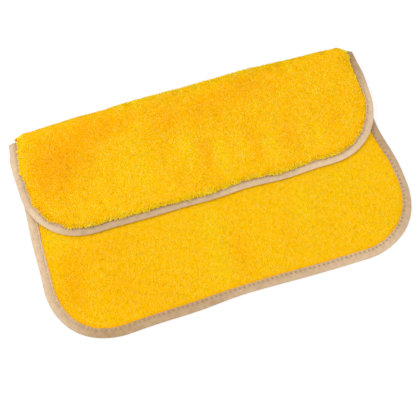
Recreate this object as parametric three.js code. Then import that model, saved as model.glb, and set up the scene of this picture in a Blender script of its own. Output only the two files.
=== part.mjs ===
// A two-sided microfibre polishing cloth, 400 mm square when it is open, folded once and laid on a table.
// Its ground is one warp-knitted sheet with long plush pile on one face and short pile on the other.
// A tape binding is folded over the edge all round and held by one line of lockstitch, which has
// a needle thread on the short-pile face and a bobbin thread on the long-pile face.
// The short pile is inside the fold, so the flap shows the long pile and the lower panel the short pile.
// The fold is made of three strips with four pivots on its outer face, so the flap opens out flat
// and the outer face keeps its length. +X runs along the fold, +Y towards it and +Z up, in millimetres.
// The origin is the centre of the folded cloth's box, on the table.
import * as THREE from "three";

// The cloth
const clothWidth = 400; // along the fold, over the binding
const lowerDepth = 240; // lower panel, from the fold's axis to its front edge
const flapDepth = 130; // flap, from the fold's axis to its free edge
const cornerRadius = 70; // each of the four corners
const sideDrawIn = 7; // how far the right-hand edge is pulled in, away from the fold
const drawInStart = 20; // where along the edge that begins, from the fold's axis
const drawInRun = 90;

// The plies
const longPile = 4;
const knit = 0.8;
const shortPile = 1.4;
const plyGap = 0.3; // clearance between plies, and between the flap and the lower panel
const foldHollow = 2; // radius of the hollow inside the fold
const jointGap = 0.3; // clearance between neighbouring strips of the fold

// The binding and its seam
const tapeReach = 9.8; // width of the tape on each face
const tapeLeaf = 1; // one leaf: two plies of tape, as its raw edge is turned under
const tapeWall = 0.9; // the tape where it turns round the cloth's edge
const tapeRound = 1.2; // rounding of that turn
const seamInset = 1.8; // from the tape's inner edge to the line of stitches
const threadRadius = 0.25;
const threadSink = 0.5; // depth of the groove that the thread pulls into the tape

// How the cloth lies
const edgeDroop = 2.6; // how far the lower panel's edge comes down towards the table
const flapDroop = 0.3; // how far the flap's edge comes down on the lower panel
const droopRun = 25; // how far from the edge the droop reaches
const foldRun = 35; // how far from its axis the fold's fullness reaches
const crownRun = 9; // how far in from the tape the pile reaches its full height
const rimPileShare = 0.6; // height of the pile beside the tape, as a share of its full height
const rippleDepth = 1.2; // how far the exposed part of the lower panel dips
const bulgeHeight = 1.2; // how far the flap stands off the lower panel
const ripplePitch = 175;
const rippleRun = 35; // how far from an edge a ripple reaches its full height
const lowerRippleStart = 10; // where along X the lower panel dips furthest
const flapRippleStart = -110; // where along X the flap lies lowest

// What follows from the sizes
const halfWidth = clothWidth / 2;
const knitDepth = longPile + plyGap + knit / 2; // outer face of the cloth to the middle of the knit
const plyStart = knit / 2 + plyGap; // middle of the knit to the nearer face of a pile
const innerFace = plyStart + shortPile; // middle of the knit to the short pile's face
const stack = knitDepth + innerFace;
const foldRadius = foldHollow + stack;
const foldLoft = 2 * foldHollow - plyGap; // how much higher the flap lies at the fold
const flapRest = stack + plyGap + innerFace; // height of the flap's knit where it rests
const slotHalf = plyStart;
const tapeHalf = slotHalf + tapeLeaf;
const pileInset = tapeReach + plyGap;
const knitInset = tapeWall + plyGap;
const seamLine = tapeReach - seamInset;
const halfTurn = Math.PI;
const stripTurn = halfTurn / 3;

const palette = {
  longPile: { color: 0xfbbf12, roughness: 0.95, metalness: 0 },
  knit: { color: 0xf0ac10, roughness: 0.9, metalness: 0 },
  shortPile: { color: 0xf8b90e, roughness: 0.92, metalness: 0 },
  tape: { color: 0xd6b68f, roughness: 0.7, metalness: 0 },
  thread: { color: 0xb89a72, roughness: 0.6, metalness: 0 },
};

// Rows across a panel: shares of its straight side, then steps round its corner. Columns are shares of a row.
const sideRowShares = [0, 0.1, 0.22, 0.36, 0.52, 0.76, 1];
const cornerSteps = 6;
const columnShares = [0, 0.03, 0.08, 0.16, 0.25, 0.34, 0.43, 0.52, 0.61, 0.7, 0.79, 0.87, 0.93, 0.975, 1];
const stripSteps = 4; // round each strip of the fold
const threadSides = 5;

function smooth(t) {
  const s = THREE.MathUtils.clamp(t, 0, 1);
  return s * s * (3 - 2 * s);
}

// The outline of a panel in plan, with the fold's axis at y = 0 and the panel in front of it.
function rightEdge(y) {
  return halfWidth - sideDrawIn * smooth((-y - drawInStart) / drawInRun);
}

function edgeDistance(x, y, depth) {
  const side = Math.min(rightEdge(y) - x, x + halfWidth);
  const front = y + depth;
  if (side > cornerRadius || front > cornerRadius) return Math.min(side, front);
  return cornerRadius - Math.hypot(cornerRadius - side, cornerRadius - front);
}

// One row's two ends in plan, both moved in from the outline by the same distance.
function panelRows(depth) {
  const straight = depth - cornerRadius;
  const sideRows = sideRowShares.map((share) => (inset) => {
    const y = -Math.max(share * straight, jointGap / 2);
    return { y, left: inset - halfWidth, right: rightEdge(y) - inset };
  });
  const cornerRows = Array.from({ length: cornerSteps }, (_, i) => (inset) => {
    const turn = ((i + 1) / cornerSteps) * (Math.PI / 2);
    const radius = cornerRadius - inset;
    const y = -straight - radius * Math.sin(turn);
    const reach = cornerRadius - radius * Math.cos(turn);
    return { y, left: reach - halfWidth, right: rightEdge(y) - reach };
  });
  return [...sideRows, ...cornerRows];
}

// Places along the edge, from the fold's right end round the front to its left end. Each gives the point
// in plan that lies a distance in from the outline.
function rimStations(depth) {
  const rows = panelRows(depth);
  const right = rows.map((row) => (inset) => [row(inset).right, row(inset).y]);
  const left = rows.map((row) => (inset) => [row(inset).left, row(inset).y]).reverse();
  const front = columnShares.slice(1, -1).map((share) => (inset) => {
    const { y, left: from, right: to } = rows[rows.length - 1](inset);
    return [from + share * (to - from), y];
  });
  return [...right, ...front.reverse(), ...left];
}

// A panel in plan: the grid that every ply shares, as far as the pile reaches, and for the knit the rim
// beyond it as well.
function panelPlan(depth, withRim) {
  const rows = panelRows(depth).map((row) => row(pileInset));
  const wide = columnShares.length;
  const points = rows.flatMap(({ y, left, right }) =>
    columnShares.map((share) => [left + share * (right - left), y]),
  );
  const triangles = [];
  const quad = (p, q, r, s) => triangles.push([p, q, r], [p, r, s]);
  for (let i = 0; i + 1 < rows.length; i++) {
    for (let j = 0; j + 1 < wide; j++) {
      const p = i * wide + j;
      quad(p, p + wide, p + wide + 1, p + 1);
    }
  }
  if (!withRim) return { points, triangles };
  const front = (rows.length - 1) * wide;
  const rim = [
    ...rows.map((_, i) => i * wide + wide - 1),
    ...columnShares.slice(1, -1).map((_, j) => front + wide - 2 - j),
    ...rows.map((_, i) => front - i * wide),
  ];
  const start = points.length;
  points.push(...rimStations(depth).map((station) => station(knitInset)));
  for (let i = 0; i + 1 < rim.length; i++) quad(rim[i], rim[i + 1], start + i + 1, start + i);
  return { points, triangles };
}

// Heights of the knit's middle: the lower panel droops at its edge, and the flap comes down from the fold.
function ripple(x, start) {
  return (1 - Math.cos((2 * Math.PI * (x - start)) / ripplePitch)) / 2;
}

function lowerKnit(x, y) {
  const inside = edgeDistance(x, y, lowerDepth);
  const clearOfFold = smooth(-y / foldRun);
  const shown = smooth((-y - flapDepth) / rippleRun) * smooth(inside / rippleRun);
  const droop = edgeDroop * clearOfFold * (1 - smooth(inside / droopRun));
  return knitDepth - droop - rippleDepth * shown * (1 - ripple(x, lowerRippleStart));
}

function flapKnit(x, y) {
  const inside = edgeDistance(x, y, flapDepth);
  const clearOfFold = smooth(-y / foldRun);
  const droop = flapDroop * clearOfFold * (1 - smooth(inside / droopRun));
  const raised = clearOfFold * smooth(inside / rippleRun) * ripple(x, flapRippleStart);
  return flapRest + foldLoft * (1 - clearOfFold) - droop + bulgeHeight * raised;
}

// Full pile height in the panel, and less beside the tape.
function crown(x, y, depth) {
  const risen = smooth((edgeDistance(x, y, depth) - tapeReach) / crownRun);
  return rimPileShare + (1 - rimPileShare) * Math.max(risen, 1 - smooth(-y / foldRun));
}

// A closed solid from its corners and triangles, with its faces turned outwards.
function closedSolid(corners, triangles) {
  let volume = 0;
  const [a, b, c] = [new THREE.Vector3(), new THREE.Vector3(), new THREE.Vector3()];
  for (const [i, j, k] of triangles) {
    a.fromArray(corners[i]);
    b.fromArray(corners[j]);
    c.fromArray(corners[k]);
    volume += a.dot(b.cross(c));
  }
  const outward = volume > 0 ? triangles : triangles.map(([i, j, k]) => [i, k, j]);
  const geometry = new THREE.BufferGeometry();
  geometry.setAttribute("position", new THREE.Float32BufferAttribute(corners.flat(), 3));
  geometry.setIndex(outward.flat());
  geometry.computeVertexNormals();
  return geometry;
}

// A ply of a panel: its plan at two heights, closed along every plan edge that only one triangle has.
function plySolid({ points, triangles }, lowAt, highAt) {
  const count = points.length;
  const corners = [lowAt, highAt].flatMap((heightAt) => points.map(([x, y]) => [x, y, heightAt(x, y)]));
  const edges = triangles.flatMap(([p, q, r]) => [[p, q], [q, r], [r, p]]);
  const known = new Set(edges.map(([p, q]) => `${p} ${q}`));
  const walls = edges
    .filter(([p, q]) => !known.has(`${q} ${p}`))
    .flatMap(([p, q]) => [[p, q, count + q], [p, count + q, count + p]]);
  const low = triangles.map(([p, q, r]) => [p, r, q]);
  const high = triangles.map(([p, q, r]) => [count + p, count + q, count + r]);
  return closedSolid(corners, [...low, ...high, ...walls]);
}

// A section carried along stations. A station turns a section point, given as its distance in from the
// cloth's edge and its height towards the short pile, into a place.
function sweptSolid(section, stations) {
  const size = section.length;
  const corners = stations.flatMap((place) => section.map(([inset, height]) => place(inset, height)));
  const triangles = [];
  for (let i = 0; i + 1 < stations.length; i++) {
    for (let j = 0; j < size; j++) {
      const k = (j + 1) % size;
      const [p, q] = [i * size + j, i * size + k];
      triangles.push([p, q, q + size], [p, q + size, p + size]);
    }
  }
  const outline = section.map(([inset, height]) => new THREE.Vector2(inset, height));
  const end = (stations.length - 1) * size;
  for (const [i, j, k] of THREE.ShapeUtils.triangulateShape(outline, [])) {
    triangles.push([i, k, j], [end + i, end + j, end + k]);
  }
  return closedSolid(corners, triangles);
}

// Section of the tape: a channel over the knit's edge, with a groove in each leaf for its thread.
const grooveHalf = threadRadius + plyGap;
const upperTape = [
  [tapeWall, slotHalf],
  [tapeReach, slotHalf],
  [tapeReach, tapeHalf],
  [seamLine + grooveHalf, tapeHalf],
  [seamLine + grooveHalf, tapeHalf - threadSink],
  [seamLine - grooveHalf, tapeHalf - threadSink],
  [seamLine - grooveHalf, tapeHalf],
  [tapeRound, tapeHalf],
  [tapeRound * 0.3, tapeHalf - tapeRound * 0.3],
  [0, tapeHalf - tapeRound],
];
const tapeSection = [...upperTape, ...upperTape.map(([inset, height]) => [inset, -height]).reverse()];

// Section of a thread in its groove, on the short-pile face (side 1) or the long-pile face (side -1).
function threadSection(side) {
  const seat = tapeHalf - threadSink + plyGap + threadRadius;
  return Array.from({ length: threadSides }, (_, i) => {
    const turn = (2 * Math.PI * i) / threadSides;
    return [seamLine + threadRadius * Math.cos(turn), side * seat + threadRadius * Math.sin(turn)];
  });
}

function add(group, name, geometry, finish) {
  const mesh = new THREE.Mesh(geometry, new THREE.MeshStandardMaterial(palette[finish]));
  mesh.name = name;
  group.add(mesh);
}

// The lower panel, long pile down, and the flap, long pile up. facing is 1 where the short pile faces up.
function panel(name, depth, knitAt, facing) {
  const group = new THREE.Group();
  const pile = (height) => (x, y) => knitAt(x, y) + facing * height(crown(x, y, depth));
  const onTable = () => 0;
  const longFace = facing > 0 ? onTable : pile((share) => -plyStart - longPile * share);
  const ordered = (first, second) => (facing > 0 ? [first, second] : [second, first]);
  const plies = {
    long_pile: [false, longFace, pile(() => -plyStart), "longPile"],
    knit: [true, pile(() => -knit / 2), pile(() => knit / 2), "knit"],
    short_pile: [false, pile(() => plyStart), pile((share) => plyStart + shortPile * share), "shortPile"],
  };
  for (const [ply, [withRim, outer, inner, finish]] of Object.entries(plies)) {
    const geometry = plySolid(panelPlan(depth, withRim), ...ordered(outer, inner));
    add(group, `${name}_${ply}`, geometry, finish);
  }
  const stations = rimStations(depth).map((rim) => (inset, height) => {
    const [x, y] = rim(inset);
    return [x, y, knitAt(x, y) + facing * height];
  });
  add(group, `${name}_binding`, sweptSolid(tapeSection, stations), "tape");
  add(group, `${name}_needle_thread`, sweptSolid(threadSection(1), stations), "thread");
  add(group, `${name}_bobbin_thread`, sweptSolid(threadSection(-1), stations), "thread");
  return group;
}

// The half angle that a strip of the fold covers at a radius, with the gap to its neighbours parallel.
function stripHalf(radius) {
  return stripTurn / 2 - Math.asin(jointGap / 2 / radius);
}

// A ply of one strip: a sector of a ring, as long as the ply is wide.
function stripPly(inset, outer, inner) {
  const [far, near] = [foldRadius - knitDepth - outer, foldRadius - knitDepth - inner];
  const sector = new THREE.Shape();
  sector.absarc(0, 0, far, -stripHalf(far), stripHalf(far), false);
  sector.absarc(0, 0, near, stripHalf(near), -stripHalf(near), true);
  sector.closePath();
  const depth = clothWidth - 2 * inset;
  const geometry = new THREE.ExtrudeGeometry(sector, { depth, bevelEnabled: false, curveSegments: stripSteps });
  geometry.translate(0, 0, -depth / 2);
  // The shape's plane becomes YZ, and its depth runs along X.
  geometry.applyMatrix4(new THREE.Matrix4().set(0, 0, 1, 0, 1, 0, 0, 0, 0, 1, 0, 0, 0, 0, 0, 1));
  return geometry;
}

// One strip of the fold, built round +Y from the fold's axis and then turned into its place.
function foldStrip(name, turn) {
  const group = new THREE.Group();
  add(group, `${name}_long_pile`, stripPly(pileInset, -plyStart - longPile, -plyStart), "longPile");
  add(group, `${name}_knit`, stripPly(knitInset, -knit / 2, knit / 2), "knit");
  add(group, `${name}_short_pile`, stripPly(pileInset, plyStart, innerFace), "shortPile");
  for (const [end, side] of [["left", -1], ["right", 1]]) {
    const stations = Array.from({ length: stripSteps + 1 }, (_, i) => (inset, height) => {
      const radius = foldRadius - knitDepth - height;
      const angle = (2 * i / stripSteps - 1) * stripHalf(radius);
      return [side * (halfWidth - inset), radius * Math.cos(angle), radius * Math.sin(angle)];
    });
    add(group, `${name}_binding_${end}`, sweptSolid(tapeSection, stations), "tape");
    add(group, `${name}_needle_thread_${end}`, sweptSolid(threadSection(1), stations), "thread");
    add(group, `${name}_bobbin_thread_${end}`, sweptSolid(threadSection(-1), stations), "thread");
  }
  group.position.z = foldRadius;
  group.rotation.x = turn;
  return group;
}

const cloth = new THREE.Group();
cloth.add(panel("lower", lowerDepth, lowerKnit, 1));
cloth.add(foldStrip("fold_a", -stripTurn));
cloth.add(foldStrip("fold_b", 0));
cloth.add(foldStrip("fold_c", stripTurn));
cloth.add(panel("flap", flapDepth, flapKnit, -1));
cloth.position.y = (lowerDepth - foldRadius) / 2;

export default cloth;
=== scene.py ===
import math

import bpy
import numpy as np
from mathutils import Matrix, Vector


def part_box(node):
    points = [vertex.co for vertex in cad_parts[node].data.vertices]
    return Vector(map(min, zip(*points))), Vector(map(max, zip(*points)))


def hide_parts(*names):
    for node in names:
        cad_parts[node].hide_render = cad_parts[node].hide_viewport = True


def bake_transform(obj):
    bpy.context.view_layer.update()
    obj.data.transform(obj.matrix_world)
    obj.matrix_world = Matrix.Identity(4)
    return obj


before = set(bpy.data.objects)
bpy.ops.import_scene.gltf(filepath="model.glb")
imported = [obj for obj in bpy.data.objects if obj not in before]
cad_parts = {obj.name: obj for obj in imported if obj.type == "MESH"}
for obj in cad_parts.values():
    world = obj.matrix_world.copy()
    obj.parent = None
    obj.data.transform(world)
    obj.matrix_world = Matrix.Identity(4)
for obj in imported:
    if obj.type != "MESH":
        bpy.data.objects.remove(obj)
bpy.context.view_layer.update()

mm = 0.001

# The camera
# It stands where the photograph was taken from, as the cloth's outline there shows: 65 degrees above the
# table, 18 degrees round to the left and 0.88 m away.
camera = bpy.data.objects.new("camera", bpy.data.cameras.new("camera"))
bpy.context.scene.collection.objects.link(camera)
bpy.context.scene.camera = camera
camera_at = Vector((-0.1281, -0.3773, 0.7985))
looks_at = Vector((-0.0147, -0.0226, 0.0))
camera.location = camera_at
camera.rotation_mode = "QUATERNION"
camera.rotation_quaternion = (looks_at - camera_at).to_track_quat("-Z", "Y")
camera.data.sensor_width = 36
camera.data.lens = 71.74
camera.data.clip_start = 0.01
bpy.context.scene.view_settings.view_transform = "Standard"

# The ground knit
# One sheet of warp-knitted polyester, 0.8 mm thick, which carries the pile on both faces. It lies folded
# once, with its short pile inside, and is divided here at the middle of each strip of the fold, where it
# turns from one body to the next.
half_width = 200 * mm
lower_depth = 240 * mm  # from the fold's axis to the front edge
flap_depth = 130 * mm
corner = 70 * mm
draw_in, draw_in_start, draw_in_run = 7 * mm, 20 * mm, 90 * mm  # the right-hand edge away from the fold
knit = 0.8 * mm
knit_inset = 1.2 * mm
tape_width = 10 * mm  # on each face
knit_height = 4.7 * mm  # middle of the knit above the table, and inside the fold's outer face
fold_radius = 8.8 * mm
turn_radius = fold_radius - knit_height
arc = math.pi * turn_radius
flap_height = 9.2 * mm
fold_run = 35 * mm  # how far from the fold the panels settle to their own heights
droop, droop_run = 2.6 * mm, 25 * mm
flap_clearance = 4.0 * mm  # from the lower panel's knit to the flap's, where the flap's edge rests on it
ripple_pitch, ripple_run = 175 * mm, 35 * mm
dip, dips_at = 1.2 * mm, 10 * mm  # the lower panel's ripple, and where along the fold it is deepest
bulge, flat_at = 1.2 * mm, -110 * mm  # the flap's, and where along the fold it is lowest
end_radius, end_height = 2.3 * mm, 5.0 * mm  # the fold at its two ends, where only thin tape goes round
end_back = (-4.2 * mm, -2.2 * mm)  # and how far back it lies at the left one and at the right one
end_start, end_run, end_fade = 11 * mm, 9 * mm, 60 * mm
calm = 20 * mm  # how near the fold the cloth is too taut to stray or dent
probe = 0.5 * mm  # the step over which slopes are measured
fold_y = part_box("lower_binding")[0].y + lower_depth
bodies = ["lower", "fold_a", "fold_b", "fold_c", "flap"]
spans = {
    "lower": (-lower_depth, arc / 6),
    "back_low": (arc / 6, arc / 2),
    "back_high": (arc / 2, arc * 5 / 6),
    "flap": (arc * 5 / 6, arc + flap_depth),
}


def smooth(t):
    t = np.clip(t, 0, 1)
    return t * t * (3 - 2 * t)


def right_edge(d):
    return half_width - draw_in * smooth((d - draw_in_start) / draw_in_run)


def from_fold(s):
    """How far a place lies from the fold. s runs along the cloth: lower panel, round the fold, flap."""
    return np.where(s < 0, -s, np.maximum(s - arc, 0))


def edge_distance(x, s):
    d = from_fold(s)
    side = np.minimum(right_edge(d) - x, x + half_width)
    front = np.where(s < 0, lower_depth, flap_depth) - d
    rounded = corner - np.hypot(corner - side, corner - front)
    return np.where((side > corner) | (front > corner), np.minimum(side, front), rounded)


def ripple(x, lowest):
    return (1 - np.cos(2 * math.pi * (x - lowest) / ripple_pitch)) / 2


def fold_at(x):
    """The fold's radius at the knit's middle, the height of its axis, and how far back it lies."""
    end = 1 - smooth((half_width - end_start - np.abs(x)) / end_run)
    radius = turn_radius + (end_radius - turn_radius) * end
    return radius, fold_radius + (end_height - fold_radius) * end, np.where(x < 0, *end_back) * end


def panel_height(x, d, on_flap):
    """Height of the knit's middle in a panel. The lower one droops to its edge, and the flap rests on it."""
    radius, axis, _ = fold_at(x)
    clear = smooth(d / fold_run)
    lower_inside, inside = edge_distance(x, -d), edge_distance(x, arc + d)
    lower_edge = knit_height - droop * (1 - smooth(lower_inside / droop_run))
    shown = smooth((d - flap_depth) / ripple_run) * smooth(lower_inside / ripple_run)
    lower = (1 - clear) * (axis - radius) + clear * lower_edge - dip * shown * (1 - ripple(x, dips_at))
    resting = lower_edge + flap_clearance
    flap_edge = flap_height + (resting - flap_height) * (1 - smooth(inside / droop_run))
    raised = clear * smooth(inside / ripple_run) * ripple(x, flat_at)
    flap = (1 - clear) * (axis + radius) + clear * flap_edge + bulge * raised
    return np.where(on_flap, flap, lower) - dented(x, d, on_flap)


# The cloth was laid by hand, so it has soft dents and its outline strays a little from the cut shape. A dent
# gives x, the distance from the fold, its depth and its spread; a stray gives its place and how far it goes
# along both. All are in mm.
dents = {
    "lower": [
        (-170, 179, 2.3, 12), (-2, 196, 2.7, 13), (-6, 160, 1.6, 12), (102, 184, 1.4, 14),
        (131, 222, 1.2, 12),
    ],
    "flap": [(-141, 43, 1.6, 14), (-101, 17, 1.2, 13), (14, 67, 1.4, 14)],
}
dent_length = 1.6  # how much longer a dent is along the cloth than across it
strays = {
    "lower": [
        (-200, 95, 0.5, 0), (-200, 130, -1.3, 0), (-200, 165, -0.3, 0), (-190, 205, -1.7, 1),
        (-172, 226, -2.4, 3.8), (-140, 239, -0.2, 2.0), (-100, 240, 0, 1.1), (-60, 240, 0, 0.6),
        (-15, 240, 0, -0.6), (30, 240, 0, -0.9), (70, 240, 0, 0.8), (110, 240, 0, 0.3),
        (155, 232, 0.4, 0.4), (180, 210, 0.8, 0.6), (192, 180, 0.6, 0.2), (193, 150, 3.4, 0),
        (193, 120, -0.8, 0), (194, 90, -2.2, -0.2),
    ],
    "flap": [
        (-200, 30, -3.2, 0), (-200, 75, 0.7, 0), (-190, 97, -1.9, 1.3), (-165, 120, -1.6, 2.8),
        (-130, 130, 0, -0.3), (-90, 130, 0, 1), (-50, 130, 0, 0.6), (-10, 130, 0, 2.2),
        (30, 130, 0, -1.7), (70, 130, 0, 2.3), (110, 130, 0, -1.2), (151, 124, 0.4, 1),
        (178, 103, 1.0, 0.8), (194, 76, 1.6, 0.1), (198, 48, 1.0, 0),
    ],
}
stray_spread = 22 * mm


def places_of(table, on_flap):
    """Each place that a table gives, after where its panel is."""
    for panel, places in table.items():
        for place in places:
            yield on_flap == (panel == "flap"), place


def dented(x, d, on_flap):
    total = 0 * x
    for here, (px, pd, deep, spread) in places_of(dents, on_flap):
        off = (x / mm - px) ** 2 + ((d / mm - pd) / dent_length) ** 2
        total = total + here * np.exp(-off / (2 * spread**2)) * smooth(d / calm) * deep * mm
    return total


def stray(x, d, on_flap):
    moved = np.zeros((2, *x.shape))
    for here, place in places_of(strays, on_flap):
        px, pd, dx, dd = np.array(place) * mm
        off = (x - px) ** 2 + (d - pd) ** 2
        near = here * np.exp(-off / (2 * stray_spread**2)) * smooth(d / calm)
        moved += np.stack([near * dx, near * dd])
    return moved


def lie(x, s, h):
    """Where a point of the cloth lies: x along the fold, s along the cloth, h above the knit's middle."""
    x, s, h = np.broadcast_arrays(*(np.asarray(v, float) for v in (x, s, h)))
    on_flap = s > arc / 2
    d = from_fold(s)
    near, far = np.maximum(d - probe, 0), d + probe
    along_x = (panel_height(x + probe, d, on_flap) - panel_height(x - probe, d, on_flap)) / (2 * probe)
    along_y = (panel_height(x, near, on_flap) - panel_height(x, far, on_flap)) / (far - near)
    up = np.stack([-along_x, -along_y, np.ones_like(x)], -1)
    up *= (np.where(on_flap, -1, 1) / np.linalg.norm(up, axis=-1))[..., None]
    radius, axis, back = fold_at(x)
    aside, forward = stray(x, d, on_flap)
    onward = back * (1 - smooth(d / end_fade)) - d - forward
    flat = np.stack([x + aside, onward, panel_height(x, d, on_flap)], -1) + up * h[..., None]
    turn = np.clip(s, 0, arc) / turn_radius
    bent = np.stack([x, back + (radius - h) * np.sin(turn), axis - (radius - h) * np.cos(turn)], -1)
    return np.where(((s > 0) & (s < arc))[..., None], bent, flat) + np.array([0, fold_y, 0])


corner_rows, fold_rows, least_row = 18, 25, 0.3 * mm


def places_along(start, end, inset, step):
    """Rows of a grid over part of the cloth, closer together round the fold and at the corners."""
    turns = np.sin(np.linspace(0, math.pi / 2, corner_rows)) * (corner - inset)
    low = corner - lower_depth - turns
    high = arc + flap_depth - corner + turns
    start, end = max(start, low[-1]), min(end, high[-1])
    plain = np.arange(low[0], high[0], step)
    rows = np.unique(np.concatenate([low, plain, np.linspace(0, arc, fold_rows), high]).round(6))
    inner = rows[(rows > start + least_row) & (rows < end - least_row)]
    return np.concatenate([[start], inner, [end]])


def grid_over(span, inset, step, columns):
    s = places_along(*span, inset, step)
    d = from_fold(s)
    depth = np.where(s < 0, lower_depth, flap_depth)
    past = np.clip((d - depth + corner) / (corner - inset), 0, 1)
    reach = corner - (corner - inset) * np.sqrt(1 - past**2)
    left, right = reach - half_width, right_edge(d) - reach
    share = np.linspace(0, 1, columns)
    return left[:, None] + (right - left)[:, None] * share, np.repeat(s[:, None], columns, 1)


def slab_faces(rows, columns):
    """The faces of a slab between a lower grid and an upper one: the lower, the upper and the rim's."""
    grid = np.arange(rows * columns).reshape(rows, columns)
    under = np.stack([grid[:-1, :-1], grid[:-1, 1:], grid[1:, 1:], grid[1:, :-1]], -1).reshape(-1, 4)
    rim = np.concatenate([grid[0], grid[1:, -1], grid[-1, -2::-1], grid[-2::-1, 0]])
    walls = np.stack([rim[:-1], rim[1:], rim[1:] + grid.size, rim[:-1] + grid.size], 1)
    return np.concatenate([under[:, ::-1], under + grid.size, walls])


def mesh_piece(name, points, faces, material):
    """A mesh object with smooth faces."""
    mesh = bpy.data.meshes.new(name)
    mesh.from_pydata(np.asarray(points).reshape(-1, 3).tolist(), [], [list(map(int, f)) for f in faces])
    mesh.materials.append(material)
    mesh.shade_smooth()
    piece = bpy.data.objects.new(name, mesh)
    bpy.context.scene.collection.objects.link(piece)
    return piece


def srgb(text):
    parts = [int(text[i : i + 2], 16) / 255 for i in (1, 3, 5)]
    return (*(p / 12.92 if p <= 0.04045 else ((p + 0.055) / 1.055) ** 2.4 for p in parts), 1.0)


def add(tree, kind, inputs=None, **settings):
    """A node with its settings, its values and its links. A node as a value links its first output."""
    made = tree.nodes.new(kind)
    for name, value in settings.items():
        setattr(made, name, value)
    for key, value in (inputs or {}).items():
        if isinstance(value, bpy.types.Node):
            value = value.outputs[0]
        if isinstance(value, bpy.types.NodeSocket):
            tree.links.new(value, made.inputs[key])
        else:
            made.inputs[key].default_value = value
    return made


def material(name, roughness, specular, sheen, sheen_tint):
    """A new material, its tree and its shader."""
    made = bpy.data.materials.new(name)
    made.use_nodes = True
    shader = made.node_tree.nodes["Principled BSDF"]
    looks = {"Roughness": roughness, "Specular IOR Level": specular}
    looks |= {"Sheen Weight": sheen, "Sheen Tint": sheen_tint}
    for key, value in looks.items():
        shader.inputs[key].default_value = value
    return made, made.node_tree, shader


def bands(tree, along, pitch):
    """Even light and dark bands along a length, as shares from 0 to 1."""
    phase = add(tree, "ShaderNodeMath", {0: along, 1: 2 * math.pi / pitch}, operation="MULTIPLY")
    wave = add(tree, "ShaderNodeMath", {0: phase}, operation="SINE")
    return add(tree, "ShaderNodeMapRange", {0: wave, 1: -1, 2: 1})


# Warp-knitted polyester: fine upright wales, 1 mm apart, in a flat, dull yellow.
knit_cloth, tree, shader = material("warp knitted polyester", 0.9, 0.1, 0.1, srgb("#FFD24A"))
wale = 1.0 * mm
where = add(tree, "ShaderNodeTexCoord").outputs["Object"]
across = add(tree, "ShaderNodeSeparateXYZ", {0: where}).outputs["X"]
shade = bands(tree, across, wale)
yellows = {0: shade, 6: srgb("#E08F00"), 7: srgb("#F4A906")}
yellow = add(tree, "ShaderNodeMix", yellows, data_type="RGBA").outputs[2]
tree.links.new(yellow, shader.inputs["Base Color"])
relief = add(tree, "ShaderNodeBump", {"Strength": 0.4, "Distance": 0.1 * mm, "Height": shade})
tree.links.new(relief.outputs[0], shader.inputs["Normal"])


def keep(mesh, name, values, kind="FLOAT", domain="POINT"):
    """Stores a value or a vector at every point or face of a mesh."""
    flat = np.asarray(values, bool if kind == "BOOLEAN" else np.float32).ravel()
    column = mesh.attributes.new(name, kind, domain).data
    column.foreach_set("vector" if kind == "FLOAT_VECTOR" else "value", flat)


def keep_plan(piece, x, s):
    """Stores where each point of a piece lies when the cloth is laid out flat."""
    plan = np.stack([np.ravel(x), np.ravel(s), 0 * np.ravel(x)], -1)
    keep(piece.data, "plan", plan, "FLOAT_VECTOR")


def join(piece):
    """Lays a piece out flat, as its plan says, bakes its transform there, and puts its folded points back."""
    folded, plan = np.empty((2, 3 * len(piece.data.vertices)), np.float32)
    piece.data.vertices.foreach_get("co", folded)
    piece.data.attributes["plan"].data.foreach_get("vector", plan)
    piece.data.vertices.foreach_set("co", plan)
    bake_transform(piece)
    piece.data.vertices.foreach_set("co", folded)
    piece.data.update()


def stands_for(part, ply, ends=("",)):
    """Hides the CAD nodes of that ply on the bodies that the piece bends between."""
    number = list(spans).index(part)
    pair = bodies[number : number + 2]
    names = [f"{body}_{ply}{end if body.startswith('fold') else ''}" for body in pair for end in ends]
    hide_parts(*sorted(set(names)))


knit_step, knit_columns = 4 * mm, 90
strip_inset = tape_width + 0.4 * mm  # round the fold, where the tape alone reaches the edge
knits = {}
for part, span in spans.items():
    inset = knit_inset if part in ("lower", "flap") else strip_inset
    x, s = grid_over(span, inset, knit_step, knit_columns)
    points = np.concatenate([lie(x, s, -knit / 2), lie(x, s, knit / 2)])
    knits[part] = mesh_piece(f"ground_knit_{part}", points, slab_faces(*x.shape), knit_cloth)
    keep_plan(knits[part], [x, x], [s, s])
    join(knits[part])
    stands_for(part, "knit")

# The binding
# A tan polyester satin tape, folded over the cloth's edge all round with its raw edges turned under, 10 mm
# wide on each face. It is drawn in by every stitch, which leaves a raised lip inside the seam, and puckers
# where it is eased round the corners.
# Half of its section, in mm: how far in from the edge, and how high above the knit's middle.
tape_top = [
    (1.0, 0.55), (9.3, 0.62), (9.75, 0.85), (10, 1.15), (9.75, 1.5), (9.2, 1.68), (8.5, 1.6), (7.8, 1.42),
    (7.1, 1.55), (6.4, 1.85), (5.2, 2.0), (4.0, 1.9), (2.8, 1.62), (1.7, 1.22), (0.8, 0.8), (0.2, 0.4),
]
tape_section = np.array([*tape_top, (0, 0), *((i, -h) for i, h in reversed(tape_top))]) * mm
seam = 7.8 * mm  # the stitches' distance from the edge
stitch = 5 * mm
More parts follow.
